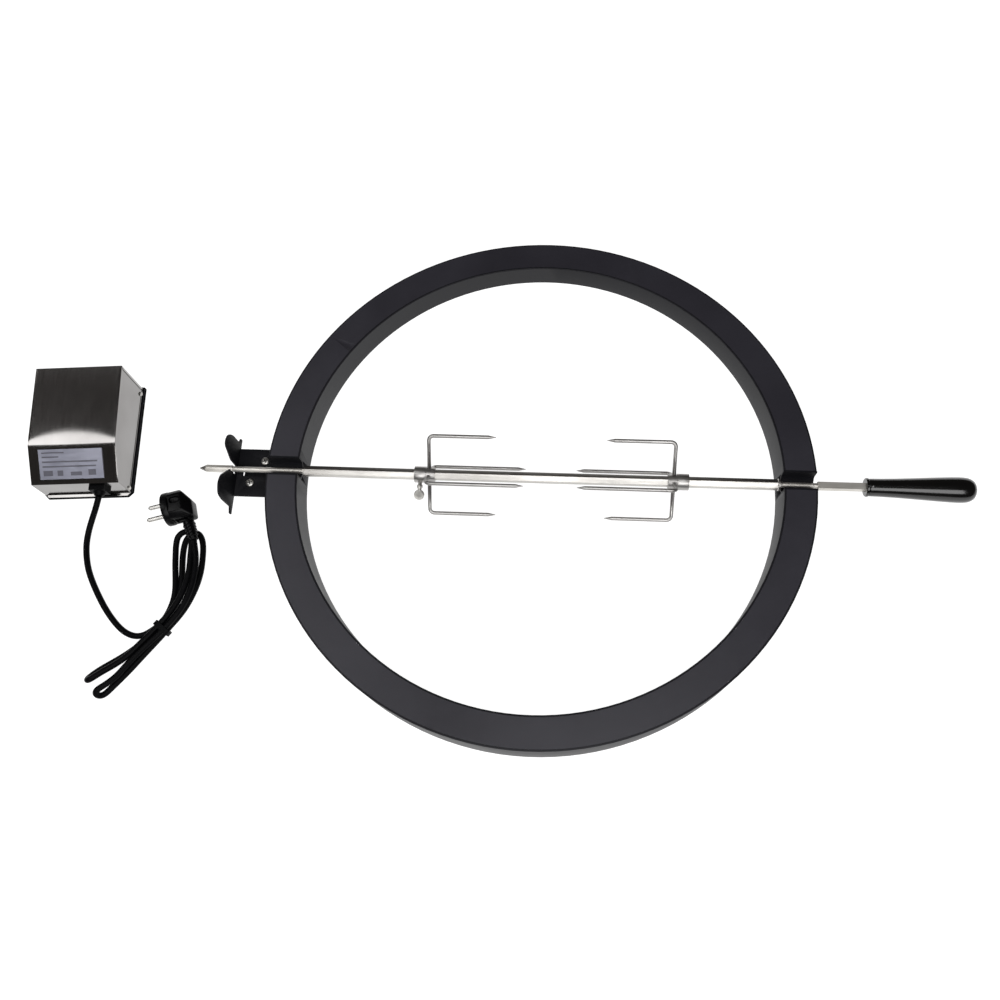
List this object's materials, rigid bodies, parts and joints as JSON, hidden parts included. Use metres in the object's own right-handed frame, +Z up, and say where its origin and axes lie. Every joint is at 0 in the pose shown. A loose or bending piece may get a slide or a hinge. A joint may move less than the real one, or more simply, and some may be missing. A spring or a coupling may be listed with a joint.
{
  "type": "kamado grill rotisserie kit",
  "caption": "Sloping steel ring for a round charcoal grill with a notched spit, sliding four-prong forks, black handle and a separate geared motor box on a tied mains lead.",
  "frame": {"origin": "centre of the ring on the plane that it stands on", "axes": "+X along the spit towards the handle, -Y towards the tall front of the ring, +Z up"},
  "size_m": [0.9796, 0.56, 0.0665],
  "materials": {
    "black_coat": "satin powder coat",
    "bracket_coat": "satin powder coat",
    "spit_steel": "satin drawn bar",
    "fork_steel": "bright wire",
    "bright_screw": "bright zinc",
    "handle_black": "gloss",
    "cover_steel": "brushed",
    "plate_black": "satin",
    "gasket_black": "matte",
    "rating_silver": "satin",
    "grommet_black": "matte",
    "inner_steel": "zinc plated",
    "gear_plastic": "moulded",
    "brass_bush": "turned",
    "terminal_white": "moulded",
    "cord_black": "satin",
    "plug_black": "satin",
    "pin_nickel": "nickel"
  },
  "bodies": {
    "ring": {"outer_band": "black_coat", "inner_band": "black_coat", "top_plate_rear": "black_coat", "top_plate_front": "black_coat", "notch_seat_left": "black_coat", "notch_seat_right": "black_coat", "bracket_lug": "bracket_coat", "motor_bracket": "bracket_coat", "bracket_screws": "bright_screw", "bracket_nuts": "bright_screw"},
    "spit": {"spit_rod": "spit_steel", "thrust_collar": "spit_steel", "handle_ferrule": "handle_black", "handle": "handle_black"},
    "motor_box": {"base_gasket": "gasket_black", "motor_base_plate": "plate_black", "motor_cover": "cover_steel", "rating_plate": "rating_silver", "cover_screws": "bright_screw", "cord_grommet": "grommet_black", "idler_two_pin": "inner_steel", "idler_one_pin": "inner_steel", "gear_plate": "inner_steel", "gear_posts": "inner_steel", "synchronous_motor": "inner_steel", "output_bush": "brass_bush", "terminal_block": "terminal_white", "cord": "cord_black", "cord_hank": "cord_black", "hank_tie": "grommet_black", "plug_body": "plug_black", "plug_pins": "pin_nickel", "plug_strain_relief": "plug_black"},
    "output_wheel": {"drive_socket": "inner_steel", "output_gear": "gear_plastic"},
    "idler_slow": {"idler_two": "gear_plastic"},
    "idler_fast": {"idler_one": "gear_plastic"},
    "rotor": {"rotor_pinion": "gear_plastic"},
    "fork_left": {"fork_left_collar": "fork_steel", "fork_left_wide_prongs": "fork_steel", "fork_left_long_prongs": "fork_steel"},
    "fork_left_screw": {"fork_left_thumbscrew": "bright_screw"},
    "fork_right": {"fork_right_collar": "fork_steel", "fork_right_wide_prongs": "fork_steel", "fork_right_long_prongs": "fork_steel"},
    "fork_right_screw": {"fork_right_thumbscrew": "bright_screw"}
  },
  "joints": [
    {"name": "spit_turn", "type": "hinge", "parent": "ring", "child": "spit", "pos_m": [0, -0.003, 0.028], "axis": [1, 0, 0], "continuous": true},
    {"name": "fork_left_slide", "type": "slide", "parent": "spit", "child": "fork_left", "axis": [1, 0, 0], "range_m": [-0.115, 0.025]},
    {"name": "fork_right_slide", "type": "slide", "parent": "spit", "child": "fork_right", "axis": [1, 0, 0], "range_m": [-0.025, 0.087]},
    {"name": "fork_left_screw_turn", "type": "hinge", "parent": "fork_left", "child": "fork_left_screw", "pos_m": [-0.1213, -0.013, 0.028], "axis": [0, -1, 0], "range_deg": [0, 360]},
    {"name": "fork_right_screw_turn", "type": "hinge", "parent": "fork_right", "child": "fork_right_screw", "pos_m": [0.148, -0.003, 0.028], "axis": [0, 0.5, -0.866], "range_deg": [0, 360]},
    {"name": "motor_lift", "type": "slide", "parent": "ring", "child": "motor_box", "axis": [0, 0, 1], "range_m": [0, 0.12]},
    {"name": "output_turn", "type": "hinge", "parent": "motor_box", "child": "output_wheel", "pos_m": [-0.4882, 0.0336, 0], "axis": [0, 0, 1], "continuous": true},
    {"name": "idler_slow_turn", "type": "hinge", "parent": "motor_box", "child": "idler_slow", "pos_m": [-0.48988, 0.05955, 0], "axis": [0, 0, 1], "continuous": true},
    {"name": "idler_fast_turn", "type": "hinge", "parent": "motor_box", "child": "idler_fast", "pos_m": [-0.51191, 0.05, 0], "axis": [0, 0, 1], "continuous": true},
    {"name": "rotor_turn", "type": "hinge", "parent": "motor_box", "child": "rotor", "pos_m": [-0.48883, 0.04338, 0], "axis": [0, 0, 1], "continuous": true}
  ],
  "couplings": [
    {"joint": "idler_slow_turn", "follows": "output_turn", "ratio": -3.3333},
    {"joint": "idler_fast_turn", "follows": "output_turn", "ratio": 10},
    {"joint": "rotor_turn", "follows": "output_turn", "ratio": -30}
  ]
}
